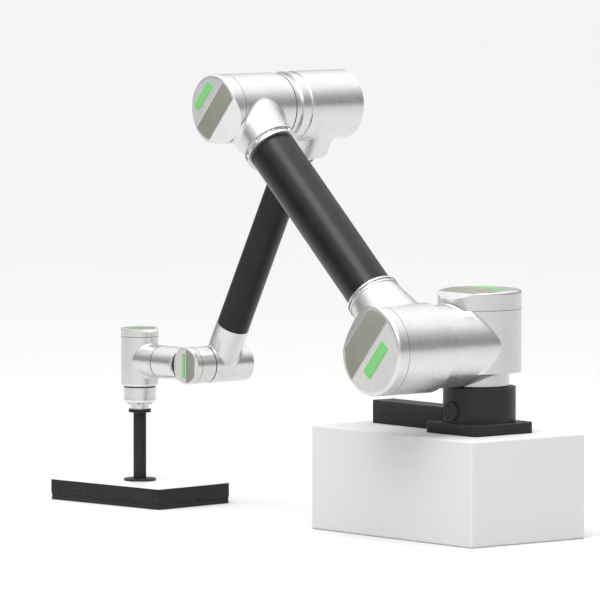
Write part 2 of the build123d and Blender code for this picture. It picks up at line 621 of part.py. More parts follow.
def all_pieces():
    pieces = {
        "base_plate": base_plate(),
        "base_column": base_column(),
        "base_port_cover": port_cover(),
        "base_screws": base_screws(),
        "cable_box": cable_box(),
        "cable_box_lid": cable_box_lid(),
        "cable_glands": cable_glands(),
        "shoulder_housing": shoulder_housing(),
        "upper_arm_shoulder_housing": upper_arm_shoulder_housing(),
        "upper_arm_lower_collar": collar(
            along_upper(UPPER_TUBE_START - LOWER_COLLAR_LENGTH), UPPER_DIR, UPPER_COLLAR, UPPER_TUBE,
            LOWER_COLLAR_LENGTH, 3.5),
        "upper_arm_tube": ring(
            along_upper(UPPER_TUBE_START - SOCKET), UPPER_DIR, UPPER_TUBE, UPPER_TUBE - UPPER_TUBE_WALL,
            UPPER_TUBE_END - UPPER_TUBE_START + 2 * SOCKET),
        "upper_arm_upper_collar": collar(
            along_upper(UPPER_TUBE_END + UPPER_COLLAR_LENGTH), -UPPER_DIR, UPPER_COLLAR, UPPER_TUBE,
            UPPER_COLLAR_LENGTH, 4.5),
        "upper_arm_elbow_housing": upper_arm_elbow_housing(),
        "forearm_elbow_housing": forearm_elbow_housing(),
        "forearm_elbow_cover": end_cover(
            at_y(ELBOW, FORE_END_Y + FORE_COVER), RIGHT, FORE_DRUM, FORE_COVER),
        "forearm_collar": collar(
            along_fore(FORE_COLLAR_START), FORE_DIR, FORE_COLLAR, FORE_TUBE, FORE_COLLAR_LENGTH, 3.5),
        "forearm_tube": ring(
            along_fore(FORE_TUBE_START), FORE_DIR, FORE_TUBE, FORE_TUBE - FORE_TUBE_WALL,
            FORE_TUBE_END - FORE_TUBE_START),
        "forearm_wrist_housing": forearm_wrist_housing(),
        "forearm_wrist_cover": end_cover(at_y(WRIST, J4_END_Y + J4_COVER), RIGHT, J4_DRUM, J4_COVER),
        "wrist_1_housing": wrist_1_housing(),
        "wrist_2_housing": wrist_2_housing(),
        "tool_flange": tool_flange(),
        "tool_adapter": tool_adapter(),
        "adapter_screws": adapter_screws(),
        "gripper_pole": gripper_pole(),
        "gripper_plate": gripper_plate(),
        "gripper_box": gripper_box(),
        "gripper_foam": gripper_foam(),
    }
    pieces.update(output_flanges())
    pieces.update(caps())
    pieces.update(seals())
    pieces.update(drives())
    return pieces


os.makedirs("parts", exist_ok=True)
for node, shape in all_pieces().items():
    export_step(shape, os.path.join("parts", node + ".step"))
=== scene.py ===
import json
import math

import bmesh
import bpy
from mathutils import Matrix, Vector


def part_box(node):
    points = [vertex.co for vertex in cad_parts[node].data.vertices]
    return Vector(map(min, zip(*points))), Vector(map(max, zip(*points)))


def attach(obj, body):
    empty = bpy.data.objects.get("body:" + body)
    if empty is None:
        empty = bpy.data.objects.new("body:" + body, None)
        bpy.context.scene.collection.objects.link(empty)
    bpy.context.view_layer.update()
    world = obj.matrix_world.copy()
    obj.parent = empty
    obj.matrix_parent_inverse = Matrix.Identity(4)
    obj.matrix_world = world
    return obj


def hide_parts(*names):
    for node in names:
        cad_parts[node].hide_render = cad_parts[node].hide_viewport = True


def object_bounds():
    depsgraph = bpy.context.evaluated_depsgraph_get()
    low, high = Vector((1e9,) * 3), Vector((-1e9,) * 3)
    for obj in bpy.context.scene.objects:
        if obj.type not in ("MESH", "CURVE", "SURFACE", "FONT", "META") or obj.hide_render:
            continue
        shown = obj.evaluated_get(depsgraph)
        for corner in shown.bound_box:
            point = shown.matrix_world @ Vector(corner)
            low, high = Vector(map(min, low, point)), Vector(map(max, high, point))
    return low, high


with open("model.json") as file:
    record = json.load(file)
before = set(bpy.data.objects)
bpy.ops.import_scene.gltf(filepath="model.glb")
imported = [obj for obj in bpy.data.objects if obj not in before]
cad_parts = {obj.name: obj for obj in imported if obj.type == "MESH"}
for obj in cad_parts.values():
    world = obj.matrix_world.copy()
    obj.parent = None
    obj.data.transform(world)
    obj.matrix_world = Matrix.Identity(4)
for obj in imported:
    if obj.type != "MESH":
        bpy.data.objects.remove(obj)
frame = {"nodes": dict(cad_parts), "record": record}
cad_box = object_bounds()
nodes = frame["nodes"]

# Places and angles repeated from the CAD source, in metres and radians.
UPPER_RISE = math.radians(41.4)
FORE_DIP = math.radians(61.1)
UPPER_DIR = Vector((math.cos(UPPER_RISE), 0, math.sin(UPPER_RISE)))
FORE_DIR = Vector((math.cos(FORE_DIP), 0, -math.sin(FORE_DIP)))
SHOULDER = Vector((0, 0.198, 0.190))
ELBOW = SHOULDER + UPPER_DIR * 0.740
ELBOW_FORE = Vector((ELBOW.x, 0.004, ELBOW.z))
WRIST_FORE = ELBOW_FORE + FORE_DIR * 0.672
WRIST = Vector((WRIST_FORE.x, 0.0735, WRIST_FORE.z))
TOOL = WRIST + Vector((0.197, 0, 0))
GRIP_TURN = math.radians(5.6)
X = Vector((1, 0, 0))
Y = Vector((0, 1, 0))
Z = Vector((0, 0, 1))


# ---- materials ----
class Mat:
    """A procedural material on one Principled shader, with helpers that chain nodes."""

    def __init__(self, name):
        self.mat = bpy.data.materials.new(name)
        self.mat.use_nodes = True
        self.nodes = self.mat.node_tree.nodes
        self.links = self.mat.node_tree.links
        self.shader = self.nodes["Principled BSDF"]
        self.coord = self.nodes.new("ShaderNodeTexCoord").outputs["Object"]

    def set(self, **values):
        for key, value in values.items():
            self.shader.inputs[key.replace("_", " ")].default_value = value

    def noise(self, scale, detail=4.0, rough=0.55, stretch=None):
        """Soft noise; stretch scales the pattern along the object's axes."""
        source = self.coord
        if stretch:
            mapping = self.nodes.new("ShaderNodeMapping")
            mapping.inputs["Scale"].default_value = stretch
            self.links.new(source, mapping.inputs["Vector"])
            source = mapping.outputs["Vector"]
        tex = self.nodes.new("ShaderNodeTexNoise")
        tex.inputs["Scale"].default_value = scale
        tex.inputs["Detail"].default_value = detail
        tex.inputs["Roughness"].default_value = rough
        self.links.new(source, tex.inputs["Vector"])
        return tex.outputs["Fac"]

    def cells(self, scale):
        """Distance from the nearest centre of a cell pattern."""
        tex = self.nodes.new("ShaderNodeTexVoronoi")
        tex.inputs["Scale"].default_value = scale
        self.links.new(self.coord, tex.inputs["Vector"])
        return tex.outputs["Distance"]

    def span(self, value, low, high, start=0.0, end=1.0):
        """Maps start to end of a value onto low to high, clamped."""
        node = self.nodes.new("ShaderNodeMapRange")
        node.clamp = True
        node.inputs["From Min"].default_value = start
        node.inputs["From Max"].default_value = end
        node.inputs["To Min"].default_value = low
        node.inputs["To Max"].default_value = high
        self.links.new(value, node.inputs["Value"])
        return node.outputs["Result"]

    def math(self, kind, a, b):
        node = self.nodes.new("ShaderNodeMath")
        node.operation = kind
        node.use_clamp = True
        for index, item in enumerate((a, b)):
            if isinstance(item, (int, float)):
                node.inputs[index].default_value = item
            else:
                self.links.new(item, node.inputs[index])
        return node.outputs["Value"]

    def mix(self, fac, a, b):
        node = self.nodes.new("ShaderNodeMix")
        node.data_type = "RGBA"
        self.links.new(fac, node.inputs["Factor"])
        for socket, item in ((node.inputs[6], a), (node.inputs[7], b)):
            if isinstance(item, tuple):
                socket.default_value = item + (1.0,)
            else:
                self.links.new(item, socket)
        return node.outputs[2]

    def edges(self, radius):
        """1 along sharp edges, 0 on open faces."""
        bevel = self.nodes.new("ShaderNodeBevel")
        bevel.samples = 6
        bevel.inputs["Radius"].default_value = radius
        plain = self.nodes.new("ShaderNodeNewGeometry")
        dot = self.nodes.new("ShaderNodeVectorMath")
        dot.operation = "DOT_PRODUCT"
        self.links.new(bevel.outputs["Normal"], dot.inputs[0])
        self.links.new(plain.outputs["Normal"], dot.inputs[1])
        return self.span(dot.outputs["Value"], 1.0, 0.0, 0.86, 0.995)

    def bump(self, height, distance, strength, under=None):
        node = self.nodes.new("ShaderNodeBump")
        node.inputs["Strength"].default_value = strength
        node.inputs["Distance"].default_value = distance
        self.links.new(height, node.inputs["Height"])
        if under is not None:
            self.links.new(under, node.inputs["Normal"])
        return node.outputs["Normal"]

    def colour(self, value):
        self.links.new(value, self.shader.inputs["Base Color"])

    def roughness(self, value):
        self.links.new(value, self.shader.inputs["Roughness"])

    def normal(self, value):
        self.links.new(value, self.shader.inputs["Normal"])


def satin_silver():
    """Silver-white lacquer on cast aluminium: soft peel, faint smudges, lighter worn edges."""
    m = Mat("silver_lacquer")
    m.set(Metallic=0.85, Coat_Weight=0.15, Coat_Roughness=0.2)
    broad = m.noise(14.0, 5.0)
    fine = m.noise(900.0, 2.0)
    smudge = m.span(m.noise(38.0, 6.0, 0.7), 0.0, 1.0, 0.52, 0.72)
    tone = m.mix(m.span(broad, 0.0, 1.0, 0.3, 0.7), (0.64, 0.64, 0.63), (0.69, 0.69, 0.68))
    tone = m.mix(m.math("MULTIPLY", smudge, 0.16), tone, (0.50, 0.50, 0.49))
    worn = m.math("MULTIPLY", m.edges(0.0012), m.span(m.noise(120.0, 3.0), 0.0, 1.0, 0.4, 0.62))
    m.colour(m.mix(worn, tone, (0.76, 0.76, 0.76)))
    base = m.span(m.noise(55.0, 4.0), 0.23, 0.34)
    m.roughness(m.math("ADD", base, m.math("MULTIPLY", smudge, 0.08)))
    peel = m.bump(m.noise(260.0, 2.0), 0.00012, 0.35)
    m.normal(m.bump(fine, 0.00003, 0.3, peel))
    return m.mat


def satin_black(name, low, high, rough_low, rough_high, grain, grain_depth, worn_tone, coat=0.0):
    """Black coating with a fine texture, dust and worn edges."""
    m = Mat(name)
    m.set(Metallic=0.0, Specular_IOR_Level=0.24, Coat_Weight=coat, Coat_Roughness=0.3)
    tone = m.mix(m.span(m.noise(22.0, 5.0), 0.0, 1.0, 0.3, 0.7), low, high)
    dust = m.span(m.noise(60.0, 8.0, 0.75), 0.0, 0.022, 0.5, 0.8)
    tone = m.mix(dust, tone, (0.30, 0.30, 0.28))
    worn = m.math("MULTIPLY", m.edges(0.0012), m.span(m.noise(140.0, 4.0), 0.0, 0.7, 0.42, 0.62))
    m.colour(m.mix(worn, tone, worn_tone))
    m.roughness(m.span(m.noise(70.0, 5.0), rough_low, rough_high))
    m.normal(m.bump(m.noise(grain, 2.0), grain_depth, 0.5))
    return m.mat


def tube_black():
    """Black lacquered tube under a satin coat, with a fine grain."""
    m = Mat("tube_lacquer")
    m.set(Metallic=0.0, Specular_IOR_Level=0.22, Coat_Weight=0.07, Coat_Roughness=0.16)
    cloud = m.span(m.noise(16.0, 5.0), 0.0, 1.0, 0.3, 0.7)
    tone = m.mix(cloud, (0.007, 0.007, 0.006), (0.012, 0.012, 0.011))
    dust = m.span(m.noise(48.0, 8.0, 0.75), 0.0, 0.018, 0.52, 0.8)
    tone = m.mix(dust, tone, (0.30, 0.30, 0.28))
    worn = m.math("MULTIPLY", m.edges(0.001), m.span(m.noise(150.0, 4.0), 0.0, 0.6, 0.42, 0.62))
    m.colour(m.mix(worn, tone, (0.25, 0.25, 0.24)))
    m.roughness(m.span(m.noise(65.0, 5.0), 0.26, 0.40))
    m.normal(m.bump(m.noise(420.0, 3.0), 0.00006, 0.5))
    return m.mat


def brushed(name, tone_a, tone_b, rough_low, rough_high, metallic=1.0, grain=500.0):
    """Machined or drawn metal with fine turning marks."""
    m = Mat(name)
    m.set(Metallic=metallic)
    marks = m.noise(grain, 3.0, 0.6, (1.0, 1.0, 9.0))
    tone = m.mix(m.span(marks, 0.0, 1.0, 0.3, 0.7), tone_a, tone_b)
    worn = m.edges(0.0006)
    m.colour(m.mix(m.math("MULTIPLY", worn, 0.5), tone, (0.9, 0.9, 0.9)))
    m.roughness(m.span(m.noise(80.0, 4.0), rough_low, rough_high))
    m.normal(m.bump(marks, 0.00004, 0.5))
    return m.mat


def rubber():
    """Dark seal rubber with a faint bloom."""
    m = Mat("seal_rubber")
    m.set(Metallic=0.0, Sheen_Weight=0.2, Sheen_Roughness=0.5)
    cloud = m.span(m.noise(90.0, 5.0), 0.0, 1.0, 0.35, 0.65)
    m.colour(m.mix(cloud, (0.045, 0.045, 0.045), (0.085, 0.085, 0.082)))
    m.roughness(m.span(m.noise(150.0, 4.0), 0.6, 0.8))
    m.normal(m.bump(m.noise(1400.0, 2.0), 0.00006, 0.5))
    return m.mat


def foam():
    """Closed-cell black foam: pores and a dull skin."""
    m = Mat("black_foam")
    m.set(Metallic=0.0, Sheen_Weight=0.08, Sheen_Roughness=0.6, Specular_IOR_Level=0.2)
    pores = m.span(m.cells(650.0), 0.0, 1.0, 0.12, 0.5)
    large = m.span(m.noise(70.0, 5.0), 0.0, 1.0, 0.3, 0.7)
    tone = m.mix(pores, (0.004, 0.004, 0.004), (0.014, 0.014, 0.013))
    m.colour(m.mix(large, tone, (0.020, 0.020, 0.019)))
    m.roughness(m.span(m.noise(200.0, 4.0), 0.82, 0.98))
    m.normal(m.bump(pores, 0.0004, 0.8))
    return m.mat


def green():
    """Moulded green plastic bar with a fine satin grain."""
    m = Mat("green_plastic")
    m.set(Metallic=0.0, Specular_IOR_Level=0.45, Coat_Weight=0.15, Coat_Roughness=0.25)
    cloud = m.span(m.noise(160.0, 4.0), 0.0, 1.0, 0.3, 0.7)
    tone = m.mix(cloud, (0.125, 0.43, 0.115), (0.155, 0.50, 0.140))
    m.colour(m.mix(m.math("MULTIPLY", m.edges(0.0008), 0.5), tone, (0.26, 0.62, 0.26)))
    m.roughness(m.span(m.noise(110.0, 4.0), 0.35, 0.5))
    m.normal(m.bump(m.noise(1100.0, 2.0), 0.00004, 0.5))
    return m.mat


def inlay():
    """Warm grey satin inlay plate with a fine leather-like grain."""
    m = Mat("grey_inlay")
    m.set(Metallic=0.25, Specular_IOR_Level=0.4)
    cloud = m.span(m.noise(30.0, 5.0), 0.0, 1.0, 0.3, 0.7)
    tone = m.mix(cloud, (0.200, 0.200, 0.165), (0.245, 0.243, 0.202))
    speck = m.span(m.cells(1500.0), 0.0, 1.0, 0.1, 0.5)
    tone = m.mix(m.math("MULTIPLY", speck, 0.25), tone, (0.28, 0.27, 0.245))
    m.colour(m.mix(m.math("MULTIPLY", m.edges(0.0008), 0.5), tone, (0.40, 0.39, 0.37)))
    m.roughness(m.span(m.noise(90.0, 5.0), 0.48, 0.62))
    m.normal(m.bump(speck, 0.00008, 0.6))
    return m.mat


MATERIALS = {
    "housing_silver": satin_silver(),
    "base_black": satin_black(
        "base_coat", (0.010, 0.010, 0.009), (0.018, 0.018, 0.017), 0.36, 0.52,
        700.0, 0.00015, (0.22, 0.22, 0.21), 0.12),
    "tube_black": tube_black(),
    "tool_black": satin_black(
        "tool_anodised", (0.010, 0.010, 0.009), (0.018, 0.018, 0.017), 0.34, 0.50,
        900.0, 0.00006, (0.30, 0.30, 0.29)),
    "plate_alu": brushed(
        "plate_alu", (0.80, 0.80, 0.79), (0.90, 0.90, 0.89), 0.30, 0.46, 0.25),
    "drive_steel": brushed(
        "drive_steel", (0.42, 0.42, 0.43), (0.55, 0.55, 0.56), 0.25, 0.42),
    "motor_steel": brushed(
        "motor_steel", (0.30, 0.29, 0.28), (0.40, 0.39, 0.37), 0.35, 0.5),
    "flange_alu": brushed(
        "flange_alu", (0.66, 0.66, 0.66), (0.80, 0.80, 0.80), 0.25, 0.40),
    "screw_steel": brushed(
        "screw_steel", (0.45, 0.45, 0.45), (0.62, 0.62, 0.62), 0.25, 0.42, 1.0, 900.0),
    "seal_rubber": rubber(),
    "foam_black": foam(),
    "bar_green": green(),
    "black_plastic": satin_black(
        "moulded_black", (0.018, 0.018, 0.017), (0.030, 0.030, 0.028), 0.42, 0.6,
        1200.0, 0.00006, (0.16, 0.16, 0.155)),
}
INLAY = inlay()

# Each CAD node takes the material of the slot that its record names.
NODE_SLOT = {}
for part in frame["record"]["subparts"]:
    NODE_SLOT[part["node"]] = part["material_slot"]
for name, obj in nodes.items():
    material = MATERIALS[NODE_SLOT[name]]
    if not obj.material_slots:
        obj.data.materials.append(material)
    for index in range(len(obj.material_slots)):
        obj.material_slots[index].material = material


# ---- pieces built here ----
SMOOTH_ANGLE = math.radians(32)


def mesh_object(name, bm, material, body):
    """Turns a bmesh into a named piece that rides on a body."""
    bmesh.ops.recalc_face_normals(bm, faces=list(bm.faces))
    mesh = bpy.data.meshes.new(name)
    bm.to_mesh(mesh)
    bm.free()
    mesh.materials.append(material)
    for face in mesh.polygons:
        face.use_smooth = True
    obj = bpy.data.objects.new(name, mesh)
    bpy.context.scene.collection.objects.link(obj)
    with bpy.context.temp_override(object=obj, active_object=obj, selected_objects=[obj]):
        bpy.ops.object.shade_smooth_by_angle(angle=SMOOTH_ANGLE)
    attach(obj, body)
    return obj


def frame_of(origin, axis, across):
    """Matrix with local z along axis and local x along the part of across that is square to it."""
    z = axis.normalized()
    x = (across - z * across.dot(z)).normalized()
    y = z.cross(x)
    rows = Matrix((x, y, z)).transposed().to_4x4()
    return Matrix.Translation(origin) @ rows


def rounded(points, corner, steps):
    """Outline with its corners rounded."""
    out = []
    count = len(points)
    for index in range(count):
        before, here, after = points[index - 1], points[index], points[(index + 1) % count]
        to_before, to_after = (before - here), (after - here)
        reach = min(corner, to_before.length * 0.45, to_after.length * 0.45)
        first = here + to_before.normalized() * reach
        last = here + to_after.normalized() * reach
        for step in range(steps + 1):
            t = step / steps
            out.append(first * (1 - t) ** 2 + here * (2 * t * (1 - t)) + last * t ** 2)
    return out


def skin(bm, rings):
    """Joins each ring of vertices to the next one with faces."""
    for lower, upper in zip(rings, rings[1:]):
        for index in range(len(lower)):
            following = (index + 1) % len(lower)
            bm.faces.new((lower[index], lower[following], upper[following], upper[index]))


def level_ring(bm, transform, radius, height, segments):
    """Circle of vertices at one height."""
    ring = []
    for index in range(segments):
        angle = 2 * math.pi * index / segments
        point = Vector((radius * math.cos(angle), radius * math.sin(angle), height))
        ring.append(bm.verts.new(transform @ point))
    return ring


def slab(outline, low, high, edge, transform):
    """Closed plate from a flat outline, with a bevelled top edge."""
    bm = bmesh.new()
    centre = sum(outline, Vector((0, 0))) / len(outline)
    levels = [(low, 0.0), (high - edge, 0.0), (high - edge * 0.3, edge * 0.3), (high, edge)]
    rings = []
    for height, inset in levels:
        ring = []
        for point in outline:
            to_centre = centre - point
            moved = point + to_centre.normalized() * inset
            ring.append(bm.verts.new(transform @ Vector((moved.x, moved.y, height))))
        rings.append(ring)
    skin(bm, rings)
    bm.faces.new(rings[0])
    bm.faces.new(rings[-1])
    return bm


FACET_TILT = math.radians(4.0)          # slope of a cap's first facet
INLAY_LOW, INLAY_HIGH = -0.0004, 0.0007  # the inlay's faces, from the facet
INLAY_EDGE = 0.0004                     # bevel of its rim
INLAY_ARC = 18                          # steps along each of its round ends


def cap_inlay(name, body, centre, axis, outward, radius, height, ridge, ledge):
    """Grey plate let into a cap's first facet, between the ridge and the ledge."""
    margin = 0.045 * radius
    edge = 0.09 * radius
    near = (ridge * radius) - margin
    far = (ledge * radius) + margin * 0.6
    reach = radius - edge
    points = []
    top_angle = math.acos(near / reach)
    low_angle = math.acos(far / reach)
    for side in (1, -1):
        for step in range(INLAY_ARC + 1):
            t = step / INLAY_ARC if side == 1 else 1 - step / INLAY_ARC
            angle = top_angle + (low_angle - top_angle) * t
            points.append(Vector((reach * math.cos(angle), side * reach * math.sin(angle))))
    placed = frame_of(centre, axis, outward)
    hinge = Matrix.Translation((ridge * radius, 0, height))
    hinge = hinge @ Matrix.Rotation(-FACET_TILT, 4, "Y")
    hinge = hinge @ Matrix.Translation((-ridge * radius, 0, 0))
    bm = slab(points, INLAY_LOW, INLAY_HIGH, INLAY_EDGE, placed @ hinge)
    return mesh_object(name, bm, INLAY, body)


def revolve(profile, transform, segments):
    """Closed ring turned from a profile of (radius, height) pairs."""
    bm = bmesh.new()
    rings = [level_ring(bm, transform, radius, height, segments) for radius, height in profile]
    skin(bm, rings + rings[:1])
    return bm


SCREW_SIDES = 24


def add_screw(bm, transform, radius, height):
    """Socket-head screw head with a rounded rim and a hexagon socket."""
    rim = radius * 0.14
    socket = radius * 0.52
    levels = [(radius, 0.0), (radius, height - rim), (radius - rim * 0.3, height - rim * 0.3),
              (radius - rim, height), (socket * 1.12, height)]
    rings = [level_ring(bm, transform, r, h, SCREW_SIDES) for r, h in levels]
    for h in (height, height * 0.4):
        ring = []
        for index in range(SCREW_SIDES):
            angle = 2 * math.pi * index / SCREW_SIDES
            sector = (angle % (math.pi / 3)) - math.pi / 6
            r = socket * math.cos(math.pi / 6) / math.cos(sector)
            point = Vector((r * math.cos(angle), r * math.sin(angle), h))
            ring.append(bm.verts.new(transform @ point))
        rings.append(ring)
    skin(bm, rings)
    bm.faces.new(rings[0])
    bm.faces.new(rings[-1])


def screw_ring(name, body, centre, axis, across, reach, count, radius, height, phase, material):
    """Equal screws on a circle of radius reach, as one piece."""
    bm = bmesh.new()
    placed = frame_of(centre, axis, across)
    for index in range(count):
        angle = math.radians(phase) + 2 * math.pi * index / count
        spot = Matrix.Translation((reach * math.cos(angle), reach * math.sin(angle), 0))
        turn = Matrix.Rotation(angle * 3.7 + index, 4, "Z")
        add_screw(bm, placed @ spot @ turn, radius, height)
    return mesh_object(name, bm, MATERIALS[material], body)


SEAM = 0.0012           # width of the gasket line under a cap
SEAM_PROUD = 0.0002     # how far it stands proud of the drum
SEAM_ROOT = 0.001       # how far it reaches into the drum
SEAM_SIDES = 96


def seam_band(name, body, centre, axis, radius, width, depth):
    """Thin dark gasket line round a drum, barely proud of it."""
    edge = depth * 0.5
    profile = [(radius - SEAM_ROOT, 0.0), (radius + depth - edge, 0.0), (radius + depth, edge),
               (radius + depth, width - edge), (radius + depth - edge, width),
               (radius - SEAM_ROOT, width)]
    bm = revolve(profile, frame_of(centre, axis, Z if abs(axis.z) < 0.9 else X), SEAM_SIDES)
    return mesh_object(name, bm, MATERIALS["seal_rubber"], body)


PAD_SIDES = (0.350, 0.221)      # the gripper's foam
PAD_INSET = 0.0015              # how far the pad stays inside those sides
PAD_CORNER, PAD_STEPS = 0.004, 6
CELL_COLUMNS, CELL_ROWS = 17, 10
CELL_MOUTH, CELL_THROAT = 0.0058, 0.0046    # radius of a suction cell, outside and inside
CELL_DEPTH = 0.006
CELL_SIDES = 12


def foam_pad():
    """Vacuum foam: rounded rims, a shallow channel round its side and rows of suction cells."""
    low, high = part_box("gripper_foam")
    half_x, half_y = PAD_SIDES[0] / 2 - PAD_INSET, PAD_SIDES[1] / 2 - PAD_INSET
    bm = bmesh.new()
    placed = Matrix.Translation(((low.x + high.x) / 2, (low.y + high.y) / 2, low.z))
    placed = placed @ Matrix.Rotation(GRIP_TURN, 4, "Z")
    thick = high.z - low.z
    corner = rounded([Vector((half_x, half_y)), Vector((-half_x, half_y)),
                      Vector((-half_x, -half_y)), Vector((half_x, -half_y))],
                     PAD_CORNER, PAD_STEPS)
    levels = [(thick, 0.0), (thick * 0.62, 0.0), (thick * 0.56, 0.0009), (thick * 0.50, 0.0009),
              (thick * 0.44, 0.0), (0.0016, 0.0), (0.0005, 0.0005), (0.0, 0.0016)]
    rings = []
    for height, inset in levels:
        ring = []
        for point in corner:
            x = math.copysign(abs(point.x) - inset, point.x)
            y = math.copysign(abs(point.y) - inset, point.y)
            ring.append(bm.verts.new(placed @ Vector((x, y, height))))
        rings.append(ring)
    skin(bm, rings)
    bm.faces.new(rings[0])
    bottom = [edge for edge in bm.edges if all(v in set(rings[-1]) for v in edge.verts)]
    holes = []
    step_x = 2 * half_x / (CELL_COLUMNS + 0.6)
    step_y = 2 * half_y / (CELL_ROWS + 0.4)
    for column in range(CELL_COLUMNS):
        for row in range(CELL_ROWS):
            spot = Vector(((column - (CELL_COLUMNS - 1) / 2) * step_x,
                           (row - (CELL_ROWS - 1) / 2) * step_y))
            mouth, throat = [], []
            for index in range(CELL_SIDES):
                angle = 2 * math.pi * index / CELL_SIDES
                side = Vector((math.cos(angle), math.sin(angle)))
                rims = ((mouth, CELL_MOUTH, 0), (throat, CELL_THROAT, CELL_DEPTH))
                for rim, reach, height in rims:
                    point = Vector((spot.x + side.x * reach, spot.y + side.y * reach, height))
                    rim.append(bm.verts.new(placed @ point))
            for index in range(CELL_SIDES):
                following = (index + 1) % CELL_SIDES
                holes.append(bm.edges.new((mouth[index], mouth[following])))
                bm.faces.new((mouth[index], mouth[following], throat[following], throat[index]))
            bm.faces.new(throat)
    bmesh.ops.triangle_fill(bm, use_beauty=True, edges=bottom + holes, normal=(0, 0, -1))
    pad = mesh_object("gripper_foam_pad", bm, MATERIALS["foam_black"], "wrist_3")
    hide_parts("gripper_foam")


def screw_set(name, body, spots, axis, across, radius, height, material):
    """Screws at given places, as one piece."""
    bm = bmesh.new()
    for index, spot in enumerate(spots):
        placed = frame_of(spot, axis, across) @ Matrix.Rotation(0.7 * index, 4, "Z")
        add_screw(bm, placed, radius, height)
    return mesh_object(name, bm, MATERIALS[material], body)


# Per cap: body, centre, axis, way to the ridge, drum radius, height, ridge and ledge as
# shares of the radius.
CAPS = {
    "shoulder": (
        "shoulder", Vector((0, 0, 0.267)), Z, -Y, 0.090, 0.041, 0.0, -0.72),
    "upper_arm": (
        "upper_arm", Vector((0, 0.276, 0.190)), Y, -UPPER_DIR, 0.096, 0.030, 0.0, -0.72),
    "elbow": (
        "upper_arm", Vector((ELBOW.x, 0.251, ELBOW.z)), Y, UPPER_DIR, 0.075, 0.034, 0.22, -0.45),
    "wrist_1": (
        "wrist_1", Vector((WRIST.x, 0.084, WRIST.z)), Y, X, 0.041, 0.019, -0.08, -0.8),
    "wrist_2": (
        "wrist_2", TOOL + Z * 0.053, Z, X, 0.042, 0.019, 0.0, -0.72),
}
for cap_name, (body, centre, axis, outward, radius, height, ridge, ledge) in CAPS.items():
    cap_inlay(cap_name + "_cap_inlay", body, centre, axis, outward, radius, height, ridge, ledge)
    seam_band(cap_name + "_cap_seam", body, centre - axis * (SEAM / 2), axis, radius,
              SEAM, SEAM_PROUD)

foam_pad()

# Per ring: body, centre, axis, way to the first angle, circle radius, number of screws, head
# radius, head height, turn in degrees, slot.
SCREW_RINGS = {
    "upper_collar_screws": (
        "upper_arm", SHOULDER + UPPER_DIR * 0.6105, UPPER_DIR, Y,
        0.0572, 8, 0.0024, 0.0080, 22.5, "screw_steel"),
    "lower_collar_screws": (
        "upper_arm", SHOULDER + UPPER_DIR * 0.1565, -UPPER_DIR, Y,
        0.0572, 8, 0.0024, 0.0034, 22.5, "screw_steel"),
    "forearm_collar_screws": (
        "forearm", ELBOW_FORE + FORE_DIR * 0.1225, -FORE_DIR, Y,
        0.0406, 6, 0.0018, 0.0045, 30, "screw_steel"),
    "elbow_cover_screws": (
        "forearm", Vector((ELBOW.x, -0.0786, ELBOW.z)), -Y, Z,
        0.0700, 6, 0.0036, 0.0022, 30, "screw_steel"),
    "wrist_cover_screws": (
        "forearm", Vector((WRIST.x, -0.0621, WRIST.z)), -Y, Z,
        0.0378, 4, 0.0020, 0.0014, 45, "screw_steel"),
    "port_cover_screws": (
        "base", Vector((0, 0.0839, 0.050)), Y, Z,
        0.0155, 3, 0.0024, 0.0014, 30, "black_plastic"),
}
for ring_name, ring_values in SCREW_RINGS.items():
    screw_ring(ring_name, *ring_values)

BOX_TOP = 0.0498
BOX_SCREW_X = (0.095, 0.311)
BOX_SCREW_Y = (-0.0225, 0.0225)
screw_set("cable_box_screws", "base",
          [Vector((x, y, BOX_TOP)) for x in BOX_SCREW_X for y in BOX_SCREW_Y],
          Z, X, 0.0030, 0.0016, "screw_steel")

# ---- stage, light and camera ----
floor_z = cad_box[0][2]         # the gripper's lowest point at rest
FLOOR_RADIUS = 260.0
FLOOR_DROP = 0.0005             # how far the floor lies below that point
PLINTH_LOW = (-0.16, -0.16)     # its corners, seen from above
PLINTH_HIGH = (0.37, 0.16)
PLINTH_FOOT = 0.0004            # how far it reaches below floor_z
PLINTH_TOP = -0.0002
PLINTH_EDGE = 0.004


def disc_floor():
    """Wide round floor."""
    mesh = bpy.data.meshes.new("floor")
    bm = bmesh.new()
    bmesh.ops.create_circle(bm, cap_ends=True, segments=96, radius=FLOOR_RADIUS)
    bm.to_mesh(mesh)
    bm.free()
    obj = bpy.data.objects.new("floor", mesh)
    obj.location = (0, 0, floor_z - FLOOR_DROP)
    bpy.context.scene.collection.objects.link(obj)
    return obj


def plinth():
    """Plain pale block that the base stands on."""
    mesh = bpy.data.meshes.new("plinth")
    bm = bmesh.new()
    bmesh.ops.create_cube(bm, size=1.0)
    low = Vector((*PLINTH_LOW, floor_z - PLINTH_FOOT))
    high = Vector((*PLINTH_HIGH, PLINTH_TOP))
    for vert in bm.verts:
        vert.co = Vector([(low[i] + high[i]) / 2 + vert.co[i] * (high[i] - low[i])
                          for i in range(3)])
    bmesh.ops.bevel(bm, geom=list(bm.edges), offset=PLINTH_EDGE, segments=4,
                    affect="EDGES", profile=0.5)
    bm.to_mesh(mesh)
    bm.free()
    obj = bpy.data.objects.new("plinth", mesh)
    bpy.context.scene.collection.objects.link(obj)
    return obj


def pale(name, tone):
    """Dull pale coating with faint clouds."""
    m = Mat(name)
    m.set(Specular_IOR_Level=0.15)
    cloud = m.span(m.noise(3.0, 4.0), 0.0, 1.0, 0.3, 0.7)
    m.colour(m.mix(cloud, tone, tuple(min(1.0, t * 1.015) for t in tone)))
    m.roughness(m.span(m.noise(9.0, 4.0), 0.75, 0.9))
    return m.mat


